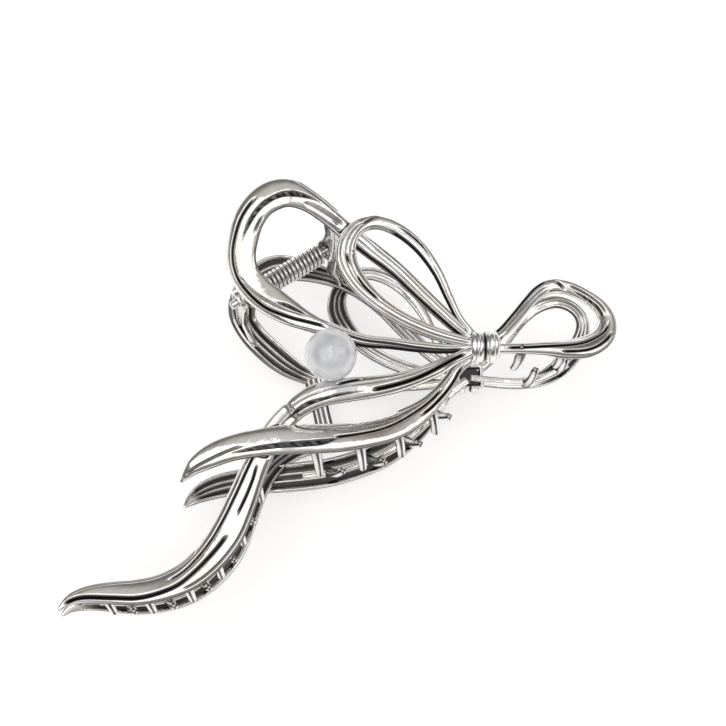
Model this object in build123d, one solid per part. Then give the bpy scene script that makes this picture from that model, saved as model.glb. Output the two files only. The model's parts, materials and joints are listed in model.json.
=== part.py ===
from build123d import *
import os

# Ribbon-bow claw hair clip, closed and lying on its back jaw.  Millimetres.
# While it is being built: X runs along the hinge pin towards the small loop,
# Y towards the finger loops (the teeth are at -Y), Z out of the front jaw.
# Z = 0 is the plane in which the two jaws meet and the pin axis is Y = Z = 0.
# The finished clip is then set down with its lowest point on the ground plane.

# ---------------------------------------------------------------- dimensions
RIBBON_CREST = 1.15       # ribbon surface above its centre line, at a ridge
RIBBON_BELLY = 0.75       # and below it, at the inside
RIBBON_EDGE = 0.35        # half height of the ribbon's blunt edge
FULL_WIDTH = 3.0          # a ribbon narrower than this gets thinner with it

PIN_RADIUS = 0.8
PIN_LEFT, PIN_RIGHT = -15.0, 9.5
PIN_HEAD_RADIUS, PIN_HEAD = 1.4, 0.6
RUNNING_CLEARANCE = 0.05

LUG_THICKNESS = 1.2
BARREL_RADIUS = 2.3
FRONT_LUGS = {"left": -11.9, "right": 5.8}      # lower X face of each lug
BACK_LUGS = {"left": -13.6, "right": 7.5}
# (Y, Z) of the two upper corners, inside the ribbon that the lug carries
LEFT_TOP = ((-6.0, 15.1), (-0.8, 14.5))
FRONT_TOPS = {"left": LEFT_TOP, "right": ((-1.6, 14.0), (2.4, 16.4))}
BACK_TOPS = {"left": LEFT_TOP, "right": ((-4.2, 13.0), (0.4, 15.0))}

WIRE_RADIUS = 0.4
COIL_RADIUS = 1.7
COIL_PITCH = 0.86
COIL_TURNS = 17
COIL_LEFT = -9.6
BEAD_RADIUS = 0.42        # small swelling of the wire at each bend
LEG_LENGTH = 8.0
HOOK_LENGTH = 3.0

KNOT = Vector(18.3, -33.9, 11.0)
KNOT_DIRECTION = Vector(0.86, -0.51, 0)
KNOT_BAND = 2.7           # width of one of the two turns round the knot
KNOT_RADIUS, KNOT_CREST = 2.45, 3.05
KNOT_FLAT = 1.7           # its inner side is cast flat, this far below its middle

FIN_WIDTH, FIN_HEIGHT, FIN_DROP = 1.3, 2.0, 1.5
TOOTH_ROOT, TOOTH_TIP = 1.2, 0.75
TOOTH_PAST = 0.9          # how far a tooth reaches past the meeting plane

PEARL_RADIUS = 4.6
PEARL_AT = Vector(-8.6, -22.9, 22.5)
PEG_RADIUS, PEG_DEPTH = 0.6, 3.0
CUP_RADIUS, CUP_BOTTOM = 3.0, 16.8
SEAT_WIDTH, SEAT_LENGTH, SEAT_TURN = 2.4, 13.4, -20
BACK_SEAT_WIDTH = 3.8

# Centre lines: x, y, height above the meeting plane, width, lean.  A lean
# rolls the ribbon about its own run: positive lifts its left-hand edge.
BIG_LOOP = [
    (18.0, -33.6, 11.3, 1.6, 0), (12.5, -31.2, 12.2, 1.8, 0), (7.7, -28.2, 13.4, 2.1, 0),
    (3.2, -25.1, 14.8, 2.2, 0), (-1.1, -22.3, 16.2, 2.4, 0), (-4.4, -18.9, 17.2, 2.6, 0),
    (-7.2, -15.2, 17.3, 3.2, 0), (-9.3, -11.5, 16.8, 4.5, -6), (-10.8, -7.6, 15.8, 5.3, -14),
    (-11.9, -3.6, 14.8, 5.4, -22), (-12.0, 0.0, 14.4, 5.5, -28), (-10.9, 3.0, 15.2, 5.7, -24),
    (-8.7, 5.6, 16.4, 5.7, -16), (-6.2, 7.6, 17.6, 5.7, -10), (-3.2, 8.7, 18.6, 5.7, -6),
    (-0.1, 8.5, 19.2, 5.8, -4), (2.4, 7.1, 19.5, 5.3, -4), (4.6, 4.3, 18.6, 4.2, -4),
    (6.7, 0.6, 16.4, 3.7, -2), (8.7, -3.4, 13.6, 3.5, 0), (10.7, -7.9, 12.3, 3.4, 0),
    (12.4, -13.3, 12.4, 3.1, 0), (13.5, -19.0, 12.7, 3.0, 0), (14.8, -24.6, 12.4, 2.7, 0),
    (16.2, -29.4, 11.8, 2.3, 0), (17.9, -33.4, 11.2, 1.7, 0),
]
MIDDLE_LOOP = [
    (17.9, -33.0, 12.0, 1.6, 0), (17.2, -27.8, 12.2, 1.5, 0), (17.7, -23.0, 12.5, 1.7, 0),
    (18.5, -17.9, 12.8, 2.0, 0), (18.3, -12.4, 13.2, 2.4, 0), (16.7, -7.6, 13.7, 2.6, 0),
    (14.0, -4.4, 14.4, 2.6, 0), (10.4, -3.5, 15.2, 2.8, -2), (7.0, -4.9, 15.5, 3.4, -6),
    (4.9, -7.8, 15.4, 3.9, -8), (4.4, -11.9, 15.0, 3.6, -6), (5.3, -16.8, 14.6, 2.9, -2),
    (7.3, -21.5, 14.1, 2.6, 0), (10.3, -26.0, 13.4, 2.5, 0), (13.5, -29.5, 12.5, 2.2, 0),
    (17.6, -33.2, 11.8, 1.6, 0),
]
SMALL_LOOP = [
    (18.2, -33.5, 11.0, 1.7, 0), (22.9, -33.2, 9.8, 2.0, 0), (27.1, -32.0, 8.6, 2.2, 0),
    (31.1, -30.6, 7.4, 2.3, 0), (34.4, -29.8, 6.6, 2.6, 4), (37.4, -30.1, 6.0, 2.7, 10),
    (39.9, -32.0, 5.7, 2.6, 16), (41.8, -35.0, 5.5, 2.6, 20), (42.9, -38.2, 5.4, 2.8, 24),
    (42.3, -41.2, 5.6, 3.4, 26), (39.7, -43.3, 6.3, 4.2, 24), (35.7, -43.5, 7.6, 4.4, 18),
    (31.5, -42.1, 9.2, 3.5, 10), (27.6, -40.0, 10.6, 2.4, 4), (23.6, -37.7, 11.2, 1.9, 0),
    (18.2, -34.3, 11.0, 1.7, 0),
]
BACK_SMALL_LOOP = [
    (18.2, -33.5, 11.0, 1.7, 0), (22.9, -33.2, 9.8, 2.0, 0), (27.1, -32.0, 8.6, 2.2, 0),
    (31.1, -30.6, 7.4, 2.3, 0), (34.4, -29.8, 6.6, 2.4, 4), (37.4, -29.9, 6.0, 2.5, 10),
    (40.2, -31.0, 5.7, 2.5, 16), (42.0, -33.3, 5.5, 2.5, 20), (42.4, -36.0, 5.4, 2.6, 24),
    (41.3, -38.5, 5.6, 3.0, 26), (38.6, -40.6, 6.2, 3.6, 24), (35.0, -41.8, 7.0, 3.8, 18),
    (31.4, -42.0, 8.4, 3.3, 10), (27.8, -41.0, 9.8, 2.4, 4), (23.8, -38.6, 10.8, 1.9, 0),
    (18.2, -34.3, 11.0, 1.7, 0),
]
LONG_TAIL = [
    (17.6, -33.9, 12.0, 1.6, 0), (12.2, -33.4, 12.8, 2.0, 0), (8.3, -33.4, 14.0, 2.7, 0),
    (4.1, -33.0, 15.2, 3.1, 0), (-0.3, -32.2, 16.6, 3.5, 0), (-4.5, -30.8, 17.6, 3.9, 0),
    (-8.4, -29.1, 18.1, 4.3, 0), (-12.0, -27.6, 18.2, 4.4, 0), (-15.4, -26.8, 17.7, 4.3, 0),
    (-18.6, -26.8, 16.6, 4.0, 0), (-22.2, -27.5, 14.8, 4.1, 0), (-26.0, -29.1, 12.9, 4.4, 4),
    (-29.8, -31.4, 11.4, 4.8, 8), (-33.8, -34.3, 10.2, 5.5, 12), (-38.4, -37.4, 9.0, 6.2, 14),
    (-42.4, -39.2, 8.2, 6.2, 16), (-46.4, -40.2, 7.4, 5.9, 18), (-50.3, -40.3, 6.8, 5.5, 18),
    (-54.4, -39.4, 6.0, 5.0, 18), (-58.1, -37.8, 5.4, 4.7, 16), (-61.3, -35.8, 4.9, 4.2, 14),
    (-64.3, -34.0, 4.5, 3.4, 10), (-67.0, -32.8, 4.1, 2.6, 8), (-69.2, -32.4, 3.7, 1.7, 4),
    (-70.9, -32.7, 3.4, 0.8, 0),
]
LOWER_TAIL = [
    (17.6, -34.1, 9.9, 1.7, 0), (12.7, -34.4, 9.3, 2.3, 4), (9.9, -35.6, 8.8, 2.5, 8),
    (6.7, -36.8, 8.6, 3.0, 10), (3.3, -37.6, 8.9, 3.8, 12), (-0.7, -37.8, 9.6, 4.7, 14),
    (-4.9, -37.5, 10.8, 5.2, 14), (-9.4, -36.4, 12.4, 5.3, 14), (-14.1, -34.7, 14.0, 5.4, 12),
    (-18.7, -32.4, 15.2, 5.5, 10), (-23.6, -29.8, 15.9, 5.3, 8), (-28.1, -27.6, 15.4, 5.0, 6),
    (-31.6, -26.2, 14.6, 4.7, 4), (-34.9, -25.4, 13.6, 4.3, 2), (-37.8, -25.2, 12.7, 3.3, 0),
    (-40.0, -25.6, 11.9, 1.9, 0), (-41.3, -26.0, 11.2, 0.8, 0),
]
RIBBONS = {
    "big_loop": BIG_LOOP, "middle_loop": MIDDLE_LOOP, "small_loop": SMALL_LOOP,
    "long_tail": LONG_TAIL, "lower_tail": LOWER_TAIL,
}
# The back jaw's finger loop reaches less far past the pin than the front one's.
BACK_HANDLE = 0.85
BACK_BIG_LOOP = [(x, y * (BACK_HANDLE if y > 0 else 1), *rest) for x, y, *rest in BIG_LOOP]
BACK_RIBBONS = RIBBONS | {"big_loop": BACK_BIG_LOOP, "small_loop": BACK_SMALL_LOOP}

# Teeth: ribbon they grow from, stretch of it that has the fin (station
# numbers), how far each tooth splays towards -Y, and the X of each tooth on
# the front and on the back jaw.
COMBS = {
    "tail_teeth": (
        "long_tail", (11, 21), 2.9, (-63, -57, -50, -43.5, -37, -30), (-60, -53.5, -46.5, -40, -33.5),
    ),
    "centre_teeth": ("lower_tail", (1, 9), 3.4, (-18.2, -10.8, -3.4, 4.4), (-14.5, -7, 0.5, 8)),
    "loop_teeth": ("small_loop", (11, 15), 0.4, (24, 31), (27, 33)),
}


# ------------------------------------------------------------------- ribbons
def between(before, start, end, after, t):
    """Smooth value a fraction t of the way from start to end."""
    rise = (end - before) / 2
    fall = (after - start) / 2
    curve = 2 * start - 2 * end + rise + fall
    bend = -3 * start + 3 * end - 2 * rise - fall
    return curve * t**3 + bend * t**2 + rise * t + start


def smooth(stations, steps=3):
    """Stations with steps - 1 new ones between each pair, as a smooth run."""
    run = [stations[0]] + list(stations) + [stations[-1]]
    fine = []
    for i in range(1, len(run) - 2):
        for step in range(steps):
            groups = zip(run[i - 1], run[i], run[i + 1], run[i + 2])
            fine.append(tuple(between(*group, step / steps) for group in groups))
    return fine + [stations[-1]]


def section_planes(run):
    """One plane across the ribbon at each station, its Y axis facing outwards."""
    planes = []
    for i, (x, y, z, _, lean) in enumerate(run):
        before = Vector(*run[max(i - 1, 0)][:3])
        after = Vector(*run[min(i + 1, len(run) - 1)][:3])
        along = (after - before).normalized()
        side = Vector(0, 0, 1).cross(along).normalized()
        side = side.rotate(Axis((0, 0, 0), along), lean)
        planes.append(Plane(origin=(x, y, z), x_dir=side, z_dir=along))
    return planes


def ridged_section(plane, width):
    """Ribbon section: three ridges outside, a plain rounded inside."""
    size = min(1.0, width / FULL_WIDTH)
    half = width / 2
    valley = width / 6
    edge, crest, belly = RIBBON_EDGE * size, RIBBON_CREST * size, RIBBON_BELLY * size
    shoulder = 0.7 * crest
    left_top, right_top = (-0.6 * half, 0.85 * crest), (0.6 * half, 0.85 * crest)
    outline = Polyline((-half, -edge), (-half, edge))
    outline += ThreePointArc((-half, edge), left_top, (-valley, shoulder))
    outline += ThreePointArc((-valley, shoulder), (0, crest), (valley, shoulder))
    outline += ThreePointArc((valley, shoulder), right_top, (half, edge))
    outline += Polyline((half, edge), (half, -edge))
    outline += ThreePointArc((half, -edge), (0, -belly), (-half, -edge))
    return plane * make_face(outline)


def ribbon(stations):
    run = smooth(stations)
    planes = section_planes(run)
    return loft([ridged_section(plane, station[3]) for plane, station in zip(planes, run)])


# --------------------------------------------------------------------- teeth
def crossing(run, x):
    """Point of the run at the given X."""
    for start, end in zip(run, run[1:]):
        if min(start[0], end[0]) <= x <= max(start[0], end[0]):
            share = (x - start[0]) / (end[0] - start[0])
            return [a + share * (b - a) for a, b in zip(start[:3], end[:3])]
    raise ValueError(f"the comb doesn't reach X = {x}")


def tooth(x, y, top, splay):
    """Tapered round-ended tooth from inside the ribbon down past Z = 0."""
    root = Vector(x, y, top)
    tip = Vector(x, y - splay, TOOTH_TIP - TOOTH_PAST)
    run = root - tip
    shank = Plane(origin=(root + tip) / 2, z_dir=run) * Cone(TOOTH_TIP, TOOTH_ROOT, run.length)
    return shank + Pos(*tip) * Sphere(TOOTH_TIP)


def comb(stations, stretch, splay, teeth):
    """Fin along the inside of a ribbon with its teeth standing on it."""
    first, last = stretch
    run = smooth(stations[first:last + 1])
    fin_face = Rectangle(FIN_WIDTH, FIN_HEIGHT)
    sections = [plane * Pos(0, -FIN_DROP) * fin_face for plane in section_planes(run)]
    solid = loft(sections)
    for x in teeth:
        px, py, pz = crossing(run, x)
        solid += tooth(px, py, pz - RIBBON_BELLY / 2, splay)
    return solid


# --------------------------------------------------------------------- hinge
def lug(x_face, top, bore):
    """Plate from the pin up to the ribbon, with a barrel round the pin."""
    rear, front = top
    outline = Polyline(
        (-BARREL_RADIUS, 0), (-2.2, 7), rear, front, (0.6, 10), (1.1, 5), (BARREL_RADIUS, 0),
        close=True,
    )
    plate = make_face(outline) + Circle(BARREL_RADIUS)
    plate -= Circle(bore)
    face = Plane(origin=(x_face, 0, 0), x_dir=(0, 1, 0), z_dir=(1, 0, 0))
    return extrude(face * plate, LUG_THICKNESS)


def hinge_pin():
    rod = cylinder_x(PIN_RADIUS, PIN_LEFT, PIN_RIGHT)
    rod = chamfer(rod.edges().sort_by(Axis.X)[0], 0.25)
    head = cylinder_x(PIN_HEAD_RADIUS, PIN_RIGHT, PIN_RIGHT + PIN_HEAD)
    head = fillet(head.edges().sort_by(Axis.X)[-1], 0.4)
    return rod + head


def cylinder_x(radius, start, end, y=0.0, z=0.0):
    disc = Plane(origin=(start, y, z), x_dir=(0, 1, 0), z_dir=(1, 0, 0)) * Circle(radius)
    return extrude(disc, end - start)


def spring_leg(x, reach, hook_end):
    """Straight wire off the coil, with an elbow and a hook along X."""
    leg = Pos(x, COIL_RADIUS, reach / 2) * Cylinder(WIRE_RADIUS, abs(reach))
    elbow = Pos(x, COIL_RADIUS, reach) * Sphere(BEAD_RADIUS)
    bend = Pos(x, COIL_RADIUS, 0) * Sphere(BEAD_RADIUS)
    hook = cylinder_x(WIRE_RADIUS, min(x, hook_end), max(x, hook_end), COIL_RADIUS, reach)
    return leg + elbow + bend + hook


def torsion_spring():
    """Closely wound coil round the pin; each leg hooks onto one jaw's lug."""
    length = COIL_PITCH * COIL_TURNS
    axis = Plane(origin=(COIL_LEFT, 0, 0), x_dir=(0, 1, 0), z_dir=(1, 0, 0))
    path = axis * Helix(pitch=COIL_PITCH, height=length, radius=COIL_RADIUS, lefthand=True)
    wire = Plane(origin=path @ 0, z_dir=path % 0) * Circle(WIRE_RADIUS)
    coil = sweep(wire, path=path, is_frenet=True)
    left_leg = spring_leg(COIL_LEFT, LEG_LENGTH, COIL_LEFT - HOOK_LENGTH)
    right_x = COIL_LEFT + length
    right_leg = spring_leg(right_x, -LEG_LENGTH, right_x + HOOK_LENGTH)
    return coil + left_leg + right_leg


# ------------------------------------------------------------- knot and pearl
def knot_wrap():
    """Two turns of ribbon round the place where all the ribbons meet."""
    outline = Polyline((-KNOT_BAND, 0), (-KNOT_BAND, KNOT_RADIUS))
    for start in (-KNOT_BAND, 0):
        middle = start + KNOT_BAND / 2
        end = start + KNOT_BAND
        outline += ThreePointArc((start, KNOT_RADIUS), (middle, KNOT_CREST), (end, KNOT_RADIUS))
    outline += Polyline((KNOT_BAND, KNOT_RADIUS), (KNOT_BAND, 0), (-KNOT_BAND, 0))
    plane = Plane(origin=KNOT, x_dir=KNOT_DIRECTION, z_dir=KNOT_DIRECTION.cross(Vector(0, 0, 1)))
    wrap = revolve(plane * make_face(outline), Axis(KNOT, KNOT_DIRECTION))
    return wrap - Pos(KNOT.X, KNOT.Y, KNOT.Z - KNOT_FLAT - 5) * Box(20, 20, 10)


def seat(back):
    """Bar bridging two ribbons; the front one has the pearl's cup and peg."""
    x, y, z = PEARL_AT
    width = BACK_SEAT_WIDTH if back else SEAT_WIDTH
    bar = Pos(x, y, CUP_BOTTOM + 0.5) * Rot(0, 0, SEAT_TURN) * Box(width, SEAT_LENGTH, 1.4)
    if back:
        return bar
    cup_top = z - 0.86 * PEARL_RADIUS
    cup = Pos(x, y, (CUP_BOTTOM + cup_top) / 2) * Cylinder(CUP_RADIUS, cup_top - CUP_BOTTOM)
    body = cup + bar - Pos(x, y, z) * Sphere(PEARL_RADIUS + 0.02)
    peg_top = z - PEARL_RADIUS + PEG_DEPTH - 0.2
    return body + Pos(x, y, (CUP_BOTTOM + peg_top) / 2) * Cylinder(PEG_RADIUS, peg_top - CUP_BOTTOM)


def pearl():
    x, y, z = PEARL_AT
    ball = Pos(x, y, z) * Sphere(PEARL_RADIUS)
    hole = Pos(x, y, z - PEARL_RADIUS + PEG_DEPTH / 2 - 0.5) * Cylinder(PEG_RADIUS, PEG_DEPTH + 1)
    return ball - hole


# ------------------------------------------------------------------ assembly
def jaw(lugs, tops, bore, back):
    """All pieces of one jaw, built as the front one and mirrored for the back."""
    ribbons = BACK_RIBBONS if back else RIBBONS
    pieces = {name: ribbon(stations) for name, stations in ribbons.items()}
    pieces["knot_wrap"] = knot_wrap()
    pieces["pearl_seat"] = seat(back)
    for side, x_face in lugs.items():
        pieces[f"{side}_lug"] = lug(x_face, tops[side], bore)
    for name, (ribbon_name, stretch, splay, front_teeth, back_teeth) in COMBS.items():
        teeth = back_teeth if back else front_teeth
        pieces[name] = comb(ribbons[ribbon_name], stretch, splay, teeth)
    if back:
        pieces = {name: mirror(piece, about=Plane.XY) for name, piece in pieces.items()}
    prefix = "back" if back else "front"
    return {f"{prefix}_{name}": piece for name, piece in pieces.items()}


parts = jaw(FRONT_LUGS, FRONT_TOPS, PIN_RADIUS + RUNNING_CLEARANCE, back=False)
parts |= jaw(BACK_LUGS, BACK_TOPS, PIN_RADIUS, back=True)
parts["pearl"] = pearl()
parts["hinge_pin"] = hinge_pin()
parts["torsion_spring"] = torsion_spring()

# Set the clip down: middle of its outline over the origin, lowest point at 0.
clip = Compound(children=[Compound(part.wrapped) for part in parts.values()])
extent = clip.bounding_box(optimal=True)
shift = (-(extent.min.X + extent.max.X) / 2, -(extent.min.Y + extent.max.Y) / 2, -extent.min.Z)

os.makedirs("parts", exist_ok=True)
for name, part in parts.items():
    export_step(Pos(*shift) * part, f"parts/{name}.step")
print("hinge axis passes through", shift)
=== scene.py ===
import json
import math

import bmesh
import bpy
import numpy as np
from mathutils import Matrix, Vector


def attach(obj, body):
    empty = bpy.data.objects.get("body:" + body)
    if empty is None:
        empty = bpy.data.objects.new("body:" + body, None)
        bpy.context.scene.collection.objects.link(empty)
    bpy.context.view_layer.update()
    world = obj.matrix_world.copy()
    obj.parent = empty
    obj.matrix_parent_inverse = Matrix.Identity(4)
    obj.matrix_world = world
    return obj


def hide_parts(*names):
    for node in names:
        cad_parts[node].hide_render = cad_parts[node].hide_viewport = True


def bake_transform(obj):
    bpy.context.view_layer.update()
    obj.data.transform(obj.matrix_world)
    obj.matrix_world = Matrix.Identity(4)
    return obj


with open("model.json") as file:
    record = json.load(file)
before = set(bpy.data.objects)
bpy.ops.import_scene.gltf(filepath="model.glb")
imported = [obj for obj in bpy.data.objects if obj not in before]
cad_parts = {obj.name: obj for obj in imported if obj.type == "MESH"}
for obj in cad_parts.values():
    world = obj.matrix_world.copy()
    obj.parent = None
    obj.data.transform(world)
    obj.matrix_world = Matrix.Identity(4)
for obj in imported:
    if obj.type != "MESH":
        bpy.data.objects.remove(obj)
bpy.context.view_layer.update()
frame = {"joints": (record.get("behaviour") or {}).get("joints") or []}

# Ribbon-bow claw hair clip.  The pieces are described in millimetres from the
# hinge: X along the pin towards the small loop, Y towards the finger loops, Z
# out of the front jaw, Z = 0 where the jaws meet.  place() turns that into the
# frame's metres.
MM = 0.001
HINGE = Vector(frame["joints"][0]["pos_m"])

# ---------------------------------------------------------------- dimensions
CREST, BELLY, EDGE, FULL_WIDTH = 1.15, 0.75, 0.35, 3.0
ROW_STEP = 0.32           # distance between two sections of a ribbon
DEEPEST_CUT = -0.12       # a line in a ribbon goes no lower than this
OUTER_POINTS, INNER_POINTS = 53, 25
PIN_RADIUS, PIN_LEFT, PIN_RIGHT = 0.8, -15.0, 9.5
PIN_HEAD_RADIUS, PIN_HEAD = 1.4, 0.6
LUG_THICKNESS, BARREL_RADIUS, PANEL_DEPTH = 1.2, 2.3, 0.16
FRONT_LUGS = {"left": -11.9, "right": 5.8}
BACK_LUGS = {"left": -13.6, "right": 7.5}
LEFT_TOP = ((-6.0, 15.1), (-0.8, 14.5))
FRONT_TOPS = {"left": LEFT_TOP, "right": ((-1.6, 14.0), (2.4, 16.4))}
BACK_TOPS = {"left": LEFT_TOP, "right": ((-4.2, 13.0), (0.4, 15.0))}
WIRE_RADIUS, COIL_RADIUS, COIL_PITCH, COIL_TURNS = 0.4, 1.7, 0.86, 17
COIL_LEFT, LEG_LENGTH, HOOK_LENGTH = -9.6, 8.0, 3.0
KNOT, KNOT_DIRECTION = Vector((18.3, -33.9, 11.0)), Vector((0.86, -0.51, 0)).normalized()
KNOT_BAND, KNOT_RADIUS, KNOT_CREST, KNOT_FLAT = 2.7, 2.45, 3.05, 1.7
KNOT_HOLLOW, KNOT_HOLLOW_ACROSS, KNOT_HOLLOW_ALONG = 0.7, 2.0, 2.1
FIN_WIDTH, FIN_HEIGHT, FIN_DROP = 1.3, 2.0, 1.5
TOOTH_ROOT, TOOTH_TIP, TOOTH_PAST = 1.2, 0.75, 0.9
PEARL_RADIUS, PEARL_AT = 4.6, Vector((-8.6, -22.9, 22.5))
PEG_RADIUS, PEG_DEPTH, CUP_RADIUS, CUP_BOTTOM = 0.6, 3.0, 3.0, 16.8
SEAT_WIDTH, BACK_SEAT_WIDTH, SEAT_LENGTH, SEAT_TURN = 2.4, 3.8, 13.4, -20

# Ribbon centre lines: x, y, height, width, lean.
RIBBONS = {
    "big_loop": (
        (18.0, -33.6, 11.3, 1.6, 0), (12.5, -31.2, 12.2, 1.8, 0), (7.7, -28.2, 13.4, 2.1, 0),
        (3.2, -25.1, 14.8, 2.2, 0), (-1.1, -22.3, 16.2, 2.4, 0), (-4.4, -18.9, 17.2, 2.6, 0),
        (-7.2, -15.2, 17.3, 3.2, 0), (-9.3, -11.5, 16.8, 4.5, -6), (-10.8, -7.6, 15.8, 5.3, -14),
        (-11.9, -3.6, 14.8, 5.4, -22), (-12.0, 0.0, 14.4, 5.5, -28), (-10.9, 3.0, 15.2, 5.7, -24),
        (-8.7, 5.6, 16.4, 5.7, -16), (-6.2, 7.6, 17.6, 5.7, -10), (-3.2, 8.7, 18.6, 5.7, -6),
        (-0.1, 8.5, 19.2, 5.8, -4), (2.4, 7.1, 19.5, 5.3, -4), (4.6, 4.3, 18.6, 4.2, -4),
        (6.7, 0.6, 16.4, 3.7, -2), (8.7, -3.4, 13.6, 3.5, 0), (10.7, -7.9, 12.3, 3.4, 0),
        (12.4, -13.3, 12.4, 3.1, 0), (13.5, -19.0, 12.7, 3.0, 0), (14.8, -24.6, 12.4, 2.7, 0),
        (16.2, -29.4, 11.8, 2.3, 0), (17.9, -33.4, 11.2, 1.7, 0),
    ),
    "middle_loop": (
        (17.9, -33.0, 12.0, 1.6, 0), (17.2, -27.8, 12.2, 1.5, 0), (17.7, -23.0, 12.5, 1.7, 0),
        (18.5, -17.9, 12.8, 2.0, 0), (18.3, -12.4, 13.2, 2.4, 0), (16.7, -7.6, 13.7, 2.6, 0),
        (14.0, -4.4, 14.4, 2.6, 0), (10.4, -3.5, 15.2, 2.8, -2), (7.0, -4.9, 15.5, 3.4, -6),
        (4.9, -7.8, 15.4, 3.9, -8), (4.4, -11.9, 15.0, 3.6, -6), (5.3, -16.8, 14.6, 2.9, -2),
        (7.3, -21.5, 14.1, 2.6, 0), (10.3, -26.0, 13.4, 2.5, 0), (13.5, -29.5, 12.5, 2.2, 0),
        (17.6, -33.2, 11.8, 1.6, 0),
    ),
    "small_loop": (
        (18.2, -33.5, 11.0, 1.7, 0), (22.9, -33.2, 9.8, 2.0, 0), (27.1, -32.0, 8.6, 2.2, 0),
        (31.1, -30.6, 7.4, 2.3, 0), (34.4, -29.8, 6.6, 2.6, 4), (37.4, -30.1, 6.0, 2.7, 10),
        (39.9, -32.0, 5.7, 2.6, 16), (41.8, -35.0, 5.5, 2.6, 20), (42.9, -38.2, 5.4, 2.8, 24),
        (42.3, -41.2, 5.6, 3.4, 26), (39.7, -43.3, 6.3, 4.2, 24), (35.7, -43.5, 7.6, 4.4, 18),
        (31.5, -42.1, 9.2, 3.5, 10), (27.6, -40.0, 10.6, 2.4, 4), (23.6, -37.7, 11.2, 1.9, 0),
        (18.2, -34.3, 11.0, 1.7, 0),
    ),
    "long_tail": (
        (17.6, -33.9, 12.0, 1.6, 0), (12.2, -33.4, 12.8, 2.0, 0), (8.3, -33.4, 14.0, 2.7, 0),
        (4.1, -33.0, 15.2, 3.1, 0), (-0.3, -32.2, 16.6, 3.5, 0), (-4.5, -30.8, 17.6, 3.9, 0),
        (-8.4, -29.1, 18.1, 4.3, 0), (-12.0, -27.6, 18.2, 4.4, 0), (-15.4, -26.8, 17.7, 4.3, 0),
        (-18.6, -26.8, 16.6, 4.0, 0), (-22.2, -27.5, 14.8, 4.1, 0), (-26.0, -29.1, 12.9, 4.4, 4),
        (-29.8, -31.4, 11.4, 4.8, 8), (-33.8, -34.3, 10.2, 5.5, 12), (-38.4, -37.4, 9.0, 6.2, 14),
        (-42.4, -39.2, 8.2, 6.2, 16), (-46.4, -40.2, 7.4, 5.9, 18), (-50.3, -40.3, 6.8, 5.5, 18),
        (-54.4, -39.4, 6.0, 5.0, 18), (-58.1, -37.8, 5.4, 4.7, 16), (-61.3, -35.8, 4.9, 4.2, 14),
        (-64.3, -34.0, 4.5, 3.4, 10), (-67.0, -32.8, 4.1, 2.6, 8), (-69.2, -32.4, 3.7, 1.7, 4),
        (-70.9, -32.7, 3.4, 0.8, 0),
    ),
    "lower_tail": (
        (17.6, -34.1, 9.9, 1.7, 0), (12.7, -34.4, 9.3, 2.3, 4), (9.9, -35.6, 8.8, 2.5, 8),
        (6.7, -36.8, 8.6, 3.0, 10), (3.3, -37.6, 8.9, 3.8, 12), (-0.7, -37.8, 9.6, 4.7, 14),
        (-4.9, -37.5, 10.8, 5.2, 14), (-9.4, -36.4, 12.4, 5.3, 14), (-14.1, -34.7, 14.0, 5.4, 12),
        (-18.7, -32.4, 15.2, 5.5, 10), (-23.6, -29.8, 15.9, 5.3, 8), (-28.1, -27.6, 15.4, 5.0, 6),
        (-31.6, -26.2, 14.6, 4.7, 4), (-34.9, -25.4, 13.6, 4.3, 2), (-37.8, -25.2, 12.7, 3.3, 0),
        (-40.0, -25.6, 11.9, 1.9, 0), (-41.3, -26.0, 11.2, 0.8, 0),
    ),
}

# On the back jaw the finger loop and the small loop are a little smaller.
BACK_HANDLE = 0.85
BACK_RIBBONS = dict(RIBBONS)
BACK_RIBBONS["big_loop"] = tuple(
    (x, y * (BACK_HANDLE if y > 0 else 1), *rest) for x, y, *rest in RIBBONS["big_loop"]
)
BACK_RIBBONS["small_loop"] = (
    (18.2, -33.5, 11.0, 1.7, 0), (22.9, -33.2, 9.8, 2.0, 0), (27.1, -32.0, 8.6, 2.2, 0),
    (31.1, -30.6, 7.4, 2.3, 0), (34.4, -29.8, 6.6, 2.4, 4), (37.4, -29.9, 6.0, 2.5, 10),
    (40.2, -31.0, 5.7, 2.5, 16), (42.0, -33.3, 5.5, 2.5, 20), (42.4, -36.0, 5.4, 2.6, 24),
    (41.3, -38.5, 5.6, 3.0, 26), (38.6, -40.6, 6.2, 3.6, 24), (35.0, -41.8, 7.0, 3.8, 18),
    (31.4, -42.0, 8.4, 3.3, 10), (27.8, -41.0, 9.8, 2.4, 4), (23.8, -38.6, 10.8, 1.9, 0),
    (18.2, -34.3, 11.0, 1.7, 0),
)

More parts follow.
